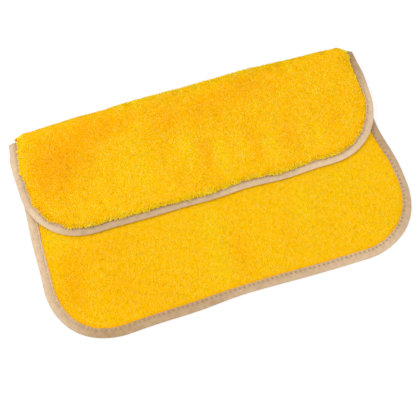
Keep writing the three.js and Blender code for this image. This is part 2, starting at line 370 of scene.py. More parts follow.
# Painted sheen and shade: the satin's colour is painted light where its threads face the windows and dull
# elsewhere: how light, at distances along the edge in mm.
painted_tape_light = {
    "lower": [
        (0, 0.55), (60, 0.55), (80, 0.68), (135, 0.7), (165, 0.64), (195, 0.6), (225, 0.45), (243, 0.24),
        (258, 0.16), (275, 0.16), (302, 0.24), (377, 0.24), (395, 0.38), (470, 0.42), (512, 0.54),
        (560, 0.6), (590, 0.47), (610, 0.4), (665, 0.4), (694, 0.24), (720, 0.2), (815, 0.05),
    ],
    "flap": [
        (0, 0.7), (30, 0.8), (60, 0.57), (95, 0.75), (120, 0.68), (136, 0.55), (155, 0.4), (205, 0.38),
        (290, 0.47), (317, 0.64), (375, 0.56), (392, 0.74), (450, 0.78), (483, 0.72), (530, 0.8),
        (546, 0.66), (565, 0.34), (591, 0.05),
    ],
}
# Creases across the flap's tape: where each starts and ends, as x and the distance from the edge, and its
# depth, in mm.
creases = [
    (51, 8.5, 85, 1.5, 0.5), (79, 9, 89, 2.5, 0.45), (117, 9, 122, 5, 0.4), (-60, 8.5, -40, 5, 0.3),
    (-8, 9, 6, 4, 0.35), (-190, 2.5, -186, 8.5, 0.5), (-184, 2.5, -180, 8.5, 0.45), (-177, 3, -174, 8.5, 0.4),
]
crease_spread, crease_run = 0.9 * mm, 90 * mm
wander, wander_reach = 0.9 * mm, 14 * mm  # how far the tape's edge strays, and how far in that is felt
loft_share = 0.12  # how much fuller or flatter the tape lies from place to place
free_start, free_run = 15 * mm, 20 * mm  # from the fold, where the tape begins to stray and to vary
pucker, pucker_pitch = 0.3 * mm, 5.6 * mm
pinch, pinch_spread = 0.5 * mm, 0.9 * mm
hidden_share = 0.2  # how strongly the stitches pinch the flap's tape on its outer face, and shade its holes
faint_to, full_from = 240, 330  # along the lower edge in mm: where the stitches pinch and shade faintly, and fully
faint_share = 0.25


def edge_of(part, step):
    """The cloth's edge in one part, as chains of places: x, s, the way in along both, and the run so far."""
    if part in ("lower", "flap"):
        depth, flip, base = (lower_depth, -1, 0.0) if part == "lower" else (flap_depth, 1, arc)
        straight = depth - corner
        side = np.arange(-arc / 6, straight, step)
        turn = np.linspace(0, math.pi / 2, round(corner * math.pi / 2 / step))
        d = np.concatenate([side, straight + corner * np.sin(turn)])
        reach = np.concatenate([0 * side, corner * (1 - np.cos(turn))])
        front = np.arange(corner - half_width + step, right_edge(depth) - corner - step / 2, step)
        x = np.concatenate([reach - half_width, front, (right_edge(d) - reach)[::-1]])
        d = np.concatenate([d, 0 * front + depth, d[::-1]])
        ahead = np.stack([np.gradient(x), np.gradient(d)]) / np.hypot(np.gradient(x), np.gradient(d))
        chains = [(x, base + flip * d, ahead[1], -flip * ahead[0])]
    else:
        s = np.linspace(*spans[part], 9)
        one, none = np.ones(9), np.zeros(9)
        chains = [(-half_width * one, s, one, none), (half_width * one, s, -one, none)]
    made = []
    for x, s, in_x, in_s in chains:
        run = np.concatenate([[0], np.cumsum(np.hypot(np.diff(x), np.diff(s)))])
        made.append((x, s, in_x, in_s, run))
    return made


def waves(run, seed, sizes):
    """A smooth random line between about -1 and 1, made of waves of the given lengths in mm."""
    random = np.random.default_rng(seed)
    return sum(np.sin(2 * math.pi * (run / (size * mm) + random.random())) for size in sizes) / len(sizes)


def creased(x, s, inset):
    """How deep the creases across the flap's tape are."""
    total = 0 * inset
    for x0, i0, x1, i1, deep in np.array(creases) * mm:
        share = (x[:, None] - x0) / (x1 - x0)
        off = inset - (i0 + (i1 - i0) * share)
        within = smooth(share * 5) * smooth((1 - share) * 5) * smooth((s[:, None] - arc) / crease_run)
        total = total + deep * np.exp(-((off / crease_spread) ** 2)) * within
    return total


def sewn(part, x, s, in_x, in_s, run):
    """The tape's section along an edge, as insets and heights, and how hard the stitches pull it there."""
    inset, height = (np.tile(v, (len(x), 1)) for v in tape_section.T)
    face = np.sign(height)
    from_end = np.minimum(run, run[-1] - run)
    free = smooth((from_end - free_start) / free_run) if part in ("lower", "flap") else 0 * run
    seed = 40 + 10 * list(spans).index(part)
    outward = wander * waves(run, seed, [210, 130, 83]) * free
    inset = inset - outward[:, None] * (1 - smooth(inset / wander_reach))
    full = 1 + loft_share * waves(run, seed + 1, [31, 19, 12]) * free
    pitch = run[-1] / max(round(run[-1] / stitch), 1)
    to_hole = np.abs((run / pitch + 0.5) % 1 - 0.5) * pitch
    pull = np.exp(-((to_hole / pinch_spread) ** 2))[:, None] * np.exp(-(((inset - seam) / pinch_spread) ** 2))
    if part == "lower":
        pull = pull * np.interp(run / mm, [faint_to, full_from], [faint_share, 1])[:, None]
    if part == "flap":
        pull = pull * np.where(height < 0, hidden_share, 1)
    gather = np.sin(2 * math.pi * (run / pucker_pitch + 0.5 * waves(run, seed + 2, [17, 29])))
    at_corner = 2 * np.abs(in_x * in_s)[:, None]
    raised = pucker * gather[:, None] * at_corner * smooth((inset - 2.5 * mm) / (5 * mm))
    if part == "flap":
        raised = raised - creased(x, s, inset)
    outer = (np.abs(height) > 1.0 * mm) & (inset > 1.5 * mm)
    return inset, height * full[:, None] + face * outer * (raised - pinch * pull), pull * outer


# Polyester satin: a close crosswise weave with a soft sheen. Its ribs are drawn 1.1 mm apart, coarser than
# the real 0.4 mm, so that they show.
satin, tree, shader = material("polyester satin tape", 0.45, 0.4, 0.2, srgb("#FFF3DD"))
rib_pitch, blotch_size = 1.1 * mm, 5 * mm
uv = add(tree, "ShaderNodeUVMap", uv_map="tape")
along = add(tree, "ShaderNodeSeparateXYZ", {0: uv}).outputs["X"]
rib = bands(tree, along, rib_pitch)
where = add(tree, "ShaderNodeTexCoord").outputs["Object"]
blotch = add(tree, "ShaderNodeTexNoise", {"Vector": where, "Scale": 1 / blotch_size, "Detail": 4.0})
uneven = add(tree, "ShaderNodeMapRange", {0: blotch, 1: 0.3, 2: 0.7, 3: -0.12, 4: 0.12})
# The lit attribute paints the satin's sheen and shade into its colour, between a dark and a light tan.
lit = add(tree, "ShaderNodeAttribute", attribute_name="lit").outputs["Fac"]
shine = add(tree, "ShaderNodeMath", {0: lit, 1: uneven}, operation="ADD")
tans = {0: shine, 6: srgb("#9C7B54"), 7: srgb("#DDC19E")}
ground = add(tree, "ShaderNodeMix", tans, data_type="RGBA").outputs[2]
dull = add(tree, "ShaderNodeMix", {0: 0.14, 6: ground, 7: srgb("#7E6040")}, data_type="RGBA").outputs[2]
ribbed = add(tree, "ShaderNodeMix", {0: rib, 6: ground, 7: dull}, data_type="RGBA").outputs[2]
# Painted shade: each stitch hole, where the tape is pinched in, is painted dark brown, partly for the hole
# itself.
hole_shade = add(tree, "ShaderNodeAttribute", attribute_name="hole_shade").outputs["Fac"]
shaded_at_holes = add(tree, "ShaderNodeMix", {0: hole_shade, 6: ribbed, 7: srgb("#6E5030")}, data_type="RGBA").outputs[2]
tree.links.new(shaded_at_holes, shader.inputs["Base Color"])
relief = add(tree, "ShaderNodeBump", {"Strength": 0.35, "Distance": 0.15 * mm, "Height": rib})
tree.links.new(relief.outputs[0], shader.inputs["Normal"])

tape_step = 0.8 * mm
past_end = 1e4  # further along in mm than any edge runs
size = len(tape_section)
ring = np.arange(size)
girth = np.concatenate([[0], np.cumsum(np.linalg.norm(np.diff(tape_section, axis=0), axis=1))])
tapes = {}
for part in spans:
    points, faces, uvs, hole_shades, lights, plans = [], [], [], [], [], []
    for x, s, in_x, in_s, run in edge_of(part, tape_step):
        inset, height, pull = sewn(part, x, s, in_x, in_s, run)
        across, onward = x[:, None] + in_x[:, None] * inset, s[:, None] + in_s[:, None] * inset
        # The painted sheen and shade of the tape at each place along its edge.
        level = run / mm if part in painted_tape_light else 0 * run + (0 if in_x[0] > 0 else past_end)
        place, light = np.array(painted_tape_light[part if part in painted_tape_light else "lower"]).T
        lights.append(np.repeat(np.interp(level, place, light), size))
        # How hard the stitches pull there also sets the painted shade at each hole.
        hole_shades.append(pull.ravel())
        uvs.append(np.stack(np.broadcast_arrays(run[:, None], girth[None, :]), -1).reshape(-1, 2))
        plans.append(np.stack([across, onward]).reshape(2, -1))
        base = sum(len(p) for p in points)
        points.append(lie(across, onward, height).reshape(-1, 3))
        for i in range(len(x) - 1):
            a, b = base + i * size + ring, base + i * size + np.roll(ring, -1)
            faces.extend(np.stack([a, b, b + size, a + size], 1))
        faces.append(base + ring[::-1])
        faces.append(base + (len(x) - 1) * size + ring)
    tape = mesh_piece(f"binding_{part}", np.concatenate(points), faces, satin)
    layer = tape.data.uv_layers.new(name="tape")
    corner_points = np.empty(len(tape.data.loops), np.int32)
    tape.data.loops.foreach_get("vertex_index", corner_points)
    layer.uv.foreach_set("vector", np.concatenate(uvs)[corner_points].astype(np.float32).ravel())
    keep(tape.data, "hole_shade", np.concatenate(hole_shades))
    keep(tape.data, "lit", np.concatenate(lights))
    tapes[part] = tape
    keep_plan(tape, *np.concatenate(plans, 1))
    join(tape)
    stands_for(part, "binding", ("_left", "_right"))

# The lockstitch
# One row of 5 mm stitches in tan spun polyester holds the tape, about 8 mm in from the edge. The needle
# thread lies on the short-pile face and the bobbin thread on the long-pile face, and they lock inside the
# cloth at every hole.
thread_radius = 0.27 * mm
thread_height = 1.45 * mm  # above and below the knit's middle, on the tape
sag = 0.3 * mm

# Spun polyester: dull, a shade darker than the tape, with its plies' twist drawn as fine slanting bands
# 1 mm apart.
spun, tree, shader = material("spun polyester thread", 0.75, 0.2, 0.1, srgb("#FFF3DD"))
twist = 1.0 * mm
where = add(tree, "ShaderNodeTexCoord").outputs["Object"]
slanting = {0: where, 1: (1.0, 1.0, 1.0)}
slant = add(tree, "ShaderNodeVectorMath", slanting, operation="DOT_PRODUCT").outputs["Value"]
plies = {0: bands(tree, slant, twist), 6: srgb("#AE906A"), 7: srgb("#C8AA84")}
twisted = add(tree, "ShaderNodeMix", plies, data_type="RGBA").outputs[2]
tree.links.new(twisted, shader.inputs["Base Color"])


def new_tree(name, sizes):
    """A Geometry Nodes group with a mesh input, a mesh output, and the inputs that sizes names."""
    made = bpy.data.node_groups.new(name, "GeometryNodeTree")
    made.interface.new_socket(name="Geometry", in_out="INPUT", socket_type="NodeSocketGeometry")
    made.interface.new_socket(name="Geometry", in_out="OUTPUT", socket_type="NodeSocketGeometry")
    for label, kind in sizes.items():
        made.interface.new_socket(name=label, in_out="INPUT", socket_type=f"NodeSocket{kind}")
    given = made.nodes.new("NodeGroupInput").outputs
    return made, given


def grow(piece, made, sizes):
    """Puts a tree on a piece, sets its named inputs, and leaves its result as the piece's plain mesh."""
    modifier = piece.modifiers.new("made", "NODES")
    modifier.node_group = made
    sockets = {i.name: i.identifier for i in made.interface.items_tree if i.in_out == "INPUT"}
    for label, value in sizes.items():
        modifier[sockets[label]] = value
    graph = bpy.context.evaluated_depsgraph_get()
    mesh = bpy.data.meshes.new_from_object(piece.evaluated_get(graph))
    piece.modifiers.clear()
    piece.data = mesh
    return piece


# One stitch: a short cord that rises out of its hole, lies along the tape and dips into the next.
sizes = {"Stitch length": "Float", "Thread radius": "Float", "Sag": "Float"}
stitching, given = new_tree("stitches", sizes)
ups = add(stitching, "GeometryNodeInputNamedAttribute", {"Name": "up"}, data_type="FLOAT_VECTOR")
line = add(stitching, "GeometryNodeMeshToCurve", {0: given["Geometry"]})
pitch = {"Curve": line, "Length": given["Stitch length"]}
spots = add(stitching, "GeometryNodeResampleCurve", pitch, mode="LENGTH")
ahead = add(stitching, "GeometryNodeInputTangent")
facing = add(stitching, "FunctionNodeAlignRotationToVector", {"Vector": ahead}, axis="X")
rolled = {"Rotation": facing, "Vector": ups}
upright = add(stitching, "FunctionNodeAlignRotationToVector", rolled, axis="Z", pivot_axis="X")
half_shown = 0.42  # of a stitch's length, on each side of its middle
half = add(stitching, "ShaderNodeMath", {0: given["Stitch length"], 1: half_shown}, operation="MULTIPLY")
sunk = add(stitching, "ShaderNodeMath", {0: given["Sag"], 1: -1.0}, operation="MULTIPLY")
nose = add(stitching, "ShaderNodeCombineXYZ", {0: half, 2: sunk})
tail = add(stitching, "ShaderNodeVectorMath", {0: nose, 1: (-1.0, 1.0, 1.0)}, operation="MULTIPLY")
middle = add(stitching, "ShaderNodeCombineXYZ", {2: given["Sag"]})
bent = {"Resolution": 6, "Start": tail, "Middle": middle, "End": nose}
bow = add(stitching, "GeometryNodeCurveQuadraticBezier", bent)
hoop = add(stitching, "GeometryNodeCurvePrimitiveCircle", {"Resolution": 6, "Radius": given["Thread radius"]})
cord = add(stitching, "GeometryNodeCurveToMesh", {"Curve": bow, "Profile Curve": hoop, "Fill Caps": True})
laid = {"Points": spots, "Instance": cord, "Rotation": upright}
placed = add(stitching, "GeometryNodeInstanceOnPoints", laid)
real = add(stitching, "GeometryNodeRealizeInstances", {0: placed})
even = add(stitching, "GeometryNodeSetShadeSmooth", {0: real})
painted = add(stitching, "GeometryNodeSetMaterial", {0: even, 2: spun}).outputs[0]
stitching.links.new(painted, stitching.nodes.new("NodeGroupOutput").inputs[0])

thread_step = 1.25 * mm
threads = {}
for face, side in (("needle", 1), ("bobbin", -1)):
    for part in spans:
        points, edges, ups, plans = [], [], [], []
        for x, s, in_x, in_s, run in edge_of(part, thread_step):
            count = max(round(run[-1] / stitch), 1)
            pitch = run[-1] / count
            middles = (np.arange(count) + 0.5) * pitch if count > 1 else np.array([0.25, 0.75]) * pitch
            at = [np.interp(middles, run, v) for v in (x, s, in_x, in_s)]
            height = side * thread_height
            place = at[0] + at[2] * seam, at[1] + at[3] * seam
            low, high = lie(*place, height), lie(*place, height + side * mm)
            plans.append(np.stack(place))
            first = sum(len(p) for p in points)
            points.append(low)
            ups.append((high - low) / mm)
            edges += [(first + i, first + i + 1) for i in range(len(middles) - 1)]
        mesh = bpy.data.meshes.new(f"{face}_thread_{part}")
        mesh.from_pydata(np.concatenate(points).tolist(), edges, [])
        keep(mesh, "up", np.concatenate(ups), "FLOAT_VECTOR")
        thread = bpy.data.objects.new(mesh.name, mesh)
        bpy.context.scene.collection.objects.link(thread)
        keep_plan(thread, *np.concatenate(plans, 1))
        grow(thread, stitching, {"Stitch length": stitch, "Thread radius": thread_radius, "Sag": sag})
        threads[face, part] = thread
        join(thread)
        stands_for(part, f"{face}_thread", ("_left", "_right"))

# The long pile
# Split polyester-nylon microfibre, cut about 5 mm long and gathered in soft tufts. It stands free on the
# flap and round the fold, spills over the tape's inner edge there, and is pressed flat under the lower panel.
long_pile = 4.6 * mm  # how high it stands, as its strands lean
pile_inset = tape_width
mass_share = 0.8  # how deep the fibres stand so close that they read as one mass
# Painted light and shade on the pile: broad places painted lighter, towards its pale tips, or darker, towards
# its golden depth: x, the distance from the fold, the spread along both in mm, and how light (above 0) or
# deep.
painted_pile_light = {
    "flap": [
        (-164, 55, 17, 24, -1.3), (-137, 34, 18, 18, -1.1), (-98, 14, 22, 10, -1.0), (-30, 27, 9, 15, -1.0),
        (60, 15, 22, 10, -1.0), (10, 26, 17, 9, -0.7), (0, 75, 6, 14, -0.9), (54, 84, 5, 14, -0.7),
        (90, 84, 6, 14, -0.7), (-70, 40, 10, 20, 0.5), (-21, 69, 7, 15, 0.8), (16, 90, 6, 16, 1.1),
        (41, 88, 5, 13, 0.6), (69, 92, 6, 15, 1.0), (122, 84, 6, 17, 0.8), (-192, 20, 7, 20, 0.8),
        (-95, 92, 36, 18, 0.5), (0, -4, 200, 7, 0.2),
    ],
    "lower": [
        (0, -9, 200, 7, 0.2), (-130, 185, 40, 30, -0.35), (-170, 180, 7, 15, -1.6),
        (-162, 155, 10, 10, -0.8), (-127, 152, 22, 7, -0.7), (-124, 190, 9, 10, -0.7),
        (1, 190, 7, 22, -1.0), (-178, 125, 10, 9, 0.8), (-19, 158, 9, 17, 1.0), (-24, 203, 7, 14, 0.9),
        (78, 165, 6, 18, 0.9), (52, 190, 5, 16, -0.5), (135, 150, 26, 26, 0.3), (-95, 215, 26, 9, -0.5),
    ],
}


def painted_pile_light_at(x, s):
    on_flap = s > arc / 2
    d = np.where(on_flap, s - arc, -s)
    total = 0 * x
    for here, (px, pd, wide, long, light) in places_of(painted_pile_light, on_flap):
        off = ((x / mm - px) / wide) ** 2 + ((d / mm - pd) / long) ** 2
        total = total + here * np.exp(-off / 2) * light
    return total


def pile_colours(tree, shader, tuft, deep, warm, lemon, pale):
    """Colours a pile: painted shade as deep at its roots, lighter from warm to lemon and pale at its tips,
    tuft by tuft, and broad painted light and shade by place.
    """
    plan = add(tree, "ShaderNodeAttribute", attribute_name="plan").outputs["Vector"]
    sizes = {0: plan, 1: (1 / tuft[0], 1 / tuft[1], 1.0)}
    cell = add(tree, "ShaderNodeVectorMath", sizes, operation="MULTIPLY")
    colour = add(tree, "ShaderNodeTexVoronoi", {"Vector": cell, "Scale": 1.0}).outputs["Color"]
    of_tuft = add(tree, "ShaderNodeSeparateColor", {0: colour})
    # Broad painted light and shade, place by place.
    painted_pile_light_fac = add(tree, "ShaderNodeAttribute", attribute_name="painted_pile_light_at").outputs["Fac"]
    of_strand = add(tree, "ShaderNodeAttribute", attribute_name="tone").outputs["Fac"]
    tuft_share, painted_pile_light_share, deepest, lightest, pale_power = 0.7, 0.45, -0.05, 0.8, 5.0
    own = add(tree, "ShaderNodeMath", {0: of_tuft, 1: tuft_share, 2: of_strand}, operation="MULTIPLY_ADD")
    total = add(tree, "ShaderNodeMath", {0: painted_pile_light_fac, 1: painted_pile_light_share, 2: own}, operation="MULTIPLY_ADD")
    reach = {0: total, 1: deepest, 2: lightest}
    light = add(tree, "ShaderNodeMapRange", reach, interpolation_type="SMOOTHSTEP")
    palest = add(tree, "ShaderNodeMath", {0: own, 1: pale_power}, operation="POWER")
    tips = add(tree, "ShaderNodeMix", {0: light, 6: srgb(warm), 7: srgb(lemon)}, data_type="RGBA").outputs[2]
    tips = add(tree, "ShaderNodeMix", {0: palest, 6: tips, 7: srgb(pale)}, data_type="RGBA").outputs[2]
    along = add(tree, "ShaderNodeAttribute", attribute_name="along").outputs["Fac"]
    lifted = 0.08  # how far a place painted lighter or darker moves up or down a strand's colours
    height = add(tree, "ShaderNodeMath", {0: painted_pile_light_fac, 1: lifted, 2: along}, operation="MULTIPLY_ADD")
    strand = add(tree, "ShaderNodeMix", {0: height, 6: srgb(deep), 7: tips}, data_type="RGBA").outputs[2]
    tree.links.new(strand, shader.inputs["Base Color"])


# Split microfibre: dull, painted deep golden at its roots and in its mass as the shade between its strands,
# and lighter, lemon at its tips, with the palest tips painted as glints. A soft sheen stands for its many
# fine fibres.
plush, tree, shader = material("long split microfibre pile", 0.9, 0.02, 0.25, srgb("#FFB820"))
pile_colours(tree, shader, (1.5 * mm, 1.5 * mm), "#FC9800", "#FCDC00", "#FCEE08", "#FCF67C")

# The strands of a pile: spikes that grow from the top of its mass, gathered into tufts, and lean the way
# the mass says.
sizes = {"Strands": "Float", "Apart": "Float", "Root width": "Float", "Tuft width": "Float"}
sizes |= {"Tuft length": "Float", "Tuft pull": "Float", "Stray": "Float"}
sizes |= {"Seed": "Int", "Finish": "Material"}
pile, given = new_tree("pile", sizes)
seed = given["Seed"]
kinds = {"grows": "BOOLEAN", "up": "FLOAT_VECTOR", "plan": "FLOAT_VECTOR"}
kinds |= {"onward": "FLOAT_VECTOR", "free": "FLOAT", "lean": "FLOAT_VECTOR"}
mass = {
    name: add(pile, "GeometryNodeInputNamedAttribute", {"Name": name}, data_type=kind)
    for name, kind in kinds.items()
}
sown = {"Mesh": given["Geometry"], "Selection": mass["grows"], "Distance Min": given["Apart"]}
sown |= {"Density Max": given["Strands"], "Seed": seed}
spread = add(pile, "GeometryNodeDistributePointsOnFaces", sown, distribute_method="POISSON")
up = add(pile, "ShaderNodeVectorMath", {0: mass["up"]}, operation="NORMALIZE")
rooting = {0: spread.outputs["Points"], "Name": "up", "Value": up}
roots = add(pile, "GeometryNodeStoreNamedAttribute", rooting, data_type="FLOAT_VECTOR")

# Each strand leans to the middle of its tuft, and those at the middle stand highest.
tuft = add(pile, "ShaderNodeCombineXYZ", {0: given["Tuft width"], 1: given["Tuft length"], 2: 1.0})
plan = add(pile, "ShaderNodeVectorMath", {0: mass["plan"], 1: tuft}, operation="DIVIDE")
cells = {"Vector": plan, "Scale": 1.0}
tufts = add(pile, "ShaderNodeTexVoronoi", cells, voronoi_dimensions="3D", feature="F1")
pull = add(pile, "ShaderNodeVectorMath", {0: tufts.outputs["Position"], 1: plan}, operation="SUBTRACT")
pull = add(pile, "ShaderNodeVectorMath", {0: pull, 1: tuft}, operation="MULTIPLY")
pull = add(pile, "ShaderNodeVectorMath", {0: pull, "Scale": given["Tuft pull"]}, operation="SCALE")
pull = add(pile, "ShaderNodeSeparateXYZ", {0: pull}).outputs
dome = add(pile, "ShaderNodeMapRange", {0: tufts.outputs["Distance"], 1: 0.1, 2: 0.9, 3: 1.15, 4: 0.55})
own = add(pile, "FunctionNodeRandomValue", {2: 0.75, 3: 1.15, "Seed": seed}, data_type="FLOAT").outputs[1]
rise = add(pile, "ShaderNodeMath", {0: dome, 1: own}, operation="MULTIPLY")
rise = add(pile, "ShaderNodeMath", {0: rise, 1: mass["free"]}, operation="MULTIPLY")
any_way = {0: (-1.0, -1.0, -1.0), 1: (1.0, 1.0, 1.0), "Seed": seed}
astray = add(pile, "FunctionNodeRandomValue", any_way, data_type="FLOAT_VECTOR")
way = add(pile, "ShaderNodeCombineXYZ", {0: pull[0]})
way = add(pile, "ShaderNodeVectorMath", {0: way, 1: mass["lean"]}, operation="ADD")
for along, far in ((mass["up"], rise), (mass["onward"], pull[1]), (astray, given["Stray"])):
    way = add(pile, "ShaderNodeVectorMath", {0: along, 1: far, 2: way}, operation="MULTIPLY_ADD")

# No strand goes through the table.
table_gap = 0.15 * mm
position = add(pile, "GeometryNodeInputPosition")
height = add(pile, "ShaderNodeSeparateXYZ", {0: position}).outputs[2]
lowest = add(pile, "ShaderNodeMath", {0: table_gap, 1: height}, operation="SUBTRACT")
parts = add(pile, "ShaderNodeSeparateXYZ", {0: way}).outputs
clear = add(pile, "ShaderNodeMath", {0: parts[2], 1: lowest}, operation="MAXIMUM")
way = add(pile, "ShaderNodeCombineXYZ", {0: parts[0], 1: parts[1], 2: clear})

# A strand is a three-sided spike, painted deep at its root as shade and light at its tip.
any_turn = {2: 0.0, 3: 2 * math.pi, "Seed": seed}
angle = add(pile, "FunctionNodeRandomValue", any_turn, data_type="FLOAT").outputs[1]
spin = add(pile, "FunctionNodeAxisAngleToRotation", {"Axis": (0.0, 0.0, 1.0), "Angle": angle})
turned = add(pile, "FunctionNodeAlignRotationToVector", {"Rotation": spin, "Vector": way}, axis="Z")
length = add(pile, "ShaderNodeVectorMath", {0: way}, operation="LENGTH").outputs["Value"]
thick = add(pile, "ShaderNodeCombineXYZ", {0: given["Root width"], 1: given["Root width"], 2: length})
most_tone = 0.3
any_tone = {2: 0.0, 3: most_tone, "Seed": seed}
shade = add(pile, "FunctionNodeRandomValue", any_tone, data_type="FLOAT").outputs[1]
toning = {0: roots, "Name": "tone", "Value": shade}
toned = add(pile, "GeometryNodeStoreNamedAttribute", toning, data_type="FLOAT")
spike = {"Vertices": 3, "Side Segments": 1, "Fill Segments": 1}
spike |= {"Radius Top": 0.0, "Radius Bottom": 0.5, "Depth": 1.0}
cone = add(pile, "GeometryNodeMeshCone", spike).outputs["Mesh"]
shading = {0: cone, "Name": "along", "Value": add(pile, "ShaderNodeMapRange", {0: height, 3: 0.4, 4: 1.0})}
strand = add(pile, "GeometryNodeStoreNamedAttribute", shading, data_type="FLOAT")
laid = {"Points": toned, "Instance": strand, "Rotation": turned, "Scale": thick}
placed = add(pile, "GeometryNodeInstanceOnPoints", laid)
real = add(pile, "GeometryNodeRealizeInstances", {0: placed})
joined = add(pile, "GeometryNodeJoinGeometry", {0: real})
pile.links.new(given["Geometry"], joined.inputs[0])
even = add(pile, "GeometryNodeSetShadeSmooth", {0: joined})

# Light falls on a dense pile as on the surface its tips make, and scatters in it, so each strand takes
# part of its normal from there, tilted up a little.
softness, tilt = 0.88, (0.0, 0.0, 0.8)
normal = add(pile, "GeometryNodeInputNormal")
own = add(pile, "ShaderNodeVectorMath", {0: normal, "Scale": 1 - softness}, operation="SCALE")
outer = add(pile, "ShaderNodeVectorMath", {0: mass["up"]}, operation="NORMALIZE")
outer = add(pile, "ShaderNodeVectorMath", {0: outer, 1: tilt}, operation="ADD")
mix = add(pile, "ShaderNodeVectorMath", {0: outer, 1: (softness,) * 3, 2: own}, operation="MULTIPLY_ADD")
soft = add(pile, "ShaderNodeVectorMath", {0: mix}, operation="NORMALIZE").outputs[0]
lit = add(pile, "GeometryNodeSetMeshNormal", {0: even}, mode="TANGENT_SPACE")
pile.links.new(soft, lit.inputs["Custom Normal"])
bare = lit.outputs[0]
for name in ("up", "lean", "free", "onward", "grows"):
    bare = add(pile, "GeometryNodeRemoveAttribute", {0: bare, "Name": name})
painted = add(pile, "GeometryNodeSetMaterial", {0: bare, 2: given["Finish"]}).outputs[0]
pile.links.new(painted, pile.nodes.new("NodeGroupOutput").inputs[0])


def swirl(x, s, size, seed):
    """Two smooth random numbers over the cloth, for the way its pile lies."""
    random = np.random.default_rng(seed)
    made = []
    for _ in range(2):
        total = 0
        for _ in range(7):
            turn, phase = random.random() * 2 * math.pi, random.random()
            pitch = size * (0.6 + random.random())
            total = total + np.sin(2 * math.pi * ((x * math.cos(turn) + s * math.sin(turn)) / pitch + phase))
        made.append(total / 3)
    return made


mass_step, mass_columns = 3 * mm, 134
rooted = 0.05 * mm  # how deep the mass is sunk in the knit
pressed_gap, pressed_share = 0.2 * mm, 0.8  # the room over the table that pressed pile leaves, and fills
rim_run = 3 * mm  # over which the mass rises at its rim
lump, lump_size = 0.2 * mm, 7 * mm
rim_lean = 0.85  # how far the mass leans with its strands at the rim
rim_share = 0.75  # how full the mass stands at the rim
least_facing = 0.05  # how much a place must face the table to be pressed on it
mass_light = 0.25  # how far up its strands' colour the mass shows: it is painted mostly deep, as shade between the strands


def pile_mass(name, part, span, face, tall, lean_at, finish):
    """The close mass of a pile on one part of the knit: on its short-pile side if face is 1, else below."""
    x, s = grid_over(span, pile_inset, mass_step, mass_columns)
    rows, columns = x.shape
    knit_face = face * (knit / 2 - rooted)
    rim = smooth((edge_distance(x, s) - pile_inset) / rim_run)
    facing_down = np.clip(np.where(s > 0, np.cos(np.clip(s, 0, arc) / turn_radius), 1), 0, 1)
    if part not in ("lower", "back_low") or face > 0:
        facing_down = 0 * s
    over_table = lie(x, s, knit_face)[..., 2] - pressed_gap
    room = np.where(facing_down > least_facing, over_table / np.maximum(facing_down, least_facing), 1)
    full = tall(x, s)
    lumps = swirl(x, s, lump_size, 8)[0] * lump * rim
    deep = np.minimum(full * mass_share * (rim_share + (1 - rim_share) * rim) + lumps, room * pressed_share)
    across, along = lean_at(x, s)
    spill = rim_lean * (1 - rim)
    top = lie(x + across * spill, s + along * spill, knit_face + face * deep)
    points = np.concatenate([lie(x, s, knit_face), top])
    faces = slab_faces(rows, columns)
    piece = mesh_piece(name, points, faces if face > 0 else faces[:, ::-1], finish)
    keep_plan(piece, [x, x], [s, s])
    onward = lie(x, s + probe / 2, knit_face) - lie(x, s - probe / 2, knit_face)
    onward /= np.linalg.norm(onward, axis=-1, keepdims=True)
    sideways = lie(x + probe, s, knit_face) - lie(x - probe, s, knit_face)
    sideways /= np.linalg.norm(sideways, axis=-1, keepdims=True)
    up = np.cross(sideways, onward) * face
    lean = sideways * across[..., None] + onward * along[..., None]
    for key, low, high in (("lean", lean, lean), ("onward", onward, onward), ("up", -up, up)):
        keep(piece.data, key, [low, high], "FLOAT_VECTOR")
    free = np.minimum(full, room) - deep
    tone, painted_pile_light_here = 0 * s + most_tone / 2, painted_pile_light_at(x, s)
    keep(piece.data, "free", [0 * s, free])
    # The mass is painted deep as shade, and fully so at its rim.
    keep(piece.data, "along", [0 * s, mass_light * rim])
    keep(piece.data, "tone", [tone, tone])
    keep(piece.data, "painted_pile_light_at", [painted_pile_light_here, painted_pile_light_here])
    number = np.arange(len(faces)) // ((rows - 1) * (columns - 1))
    keep(piece.data, "grows", number == 1, "BOOLEAN", "FACE")
    return piece


def outwards(x, s, side, front, run):
    """How far the pile's tips spill over the tape at the cloth's sides and its front, across and along."""
    to_edge = edge_distance(x, s)
    by_x = (edge_distance(x + probe, s) - edge_distance(x - probe, s)) / (2 * probe)
    by_s = (edge_distance(x, s + probe) - edge_distance(x, s - probe)) / (2 * probe)
    spill = 1 - smooth((to_edge - pile_inset) / run)
    inside_arc = (s > -probe) & (s < arc + probe)
    return -by_x * side * spill, np.where(inside_arc, 0, -by_s * front * spill)


def long_lean(x, s):
    """How far the long pile's tips lean: over the tape at its rim, and elsewhere as it was ruffled."""
    right = 2.0 * mm - 3.2 * mm * smooth(from_fold(s) / (24 * mm))
    across, along = outwards(x, s, np.where(x > 0, right, 0.6 * mm), 3.2 * mm, 6 * mm)
    a, b = swirl(x, s, 60 * mm, 3)
    c, d = swirl(x, s, 16 * mm, 4)
    at_rim = 1 - smooth((edge_distance(x, s) - pile_inset) / (5 * mm))
    ragged = 1.2 * mm * swirl(x, s, 7 * mm, 5)[0] * at_rim
    return across + 0.3 * mm * a + 0.5 * mm * c + ragged, along - 0.3 * mm + 0.3 * mm * b + 0.5 * mm * d


# How much fuller the pile stands at places along the fold than elsewhere, both in mm.
crown = [
    (-189, 3.0), (-186.5, 2.0), (-182, -2.3), (-175, -3.3), (-165, -2.6), (-150, -1.8), (-136, -1.1),
    (-120, -0.3), (-90, -0.6), (-78, 0.7), (-40, 1.5), (0, 1.2), (40, 1.9), (75, 2.7), (100, 1.5),
    (130, 0.3), (158, -0.1), (173, -0.7), (180, -1.2), (184, 1.4), (187, 1.4), (189, -1.6),
]
crown_run = 14 * mm


def long_tall(x, s):
    place, fuller = np.array(crown).T
    on_fold = smooth(1 - from_fold(s) / crown_run)
    return long_pile + np.interp(x / mm, place, fuller) * mm * on_fold


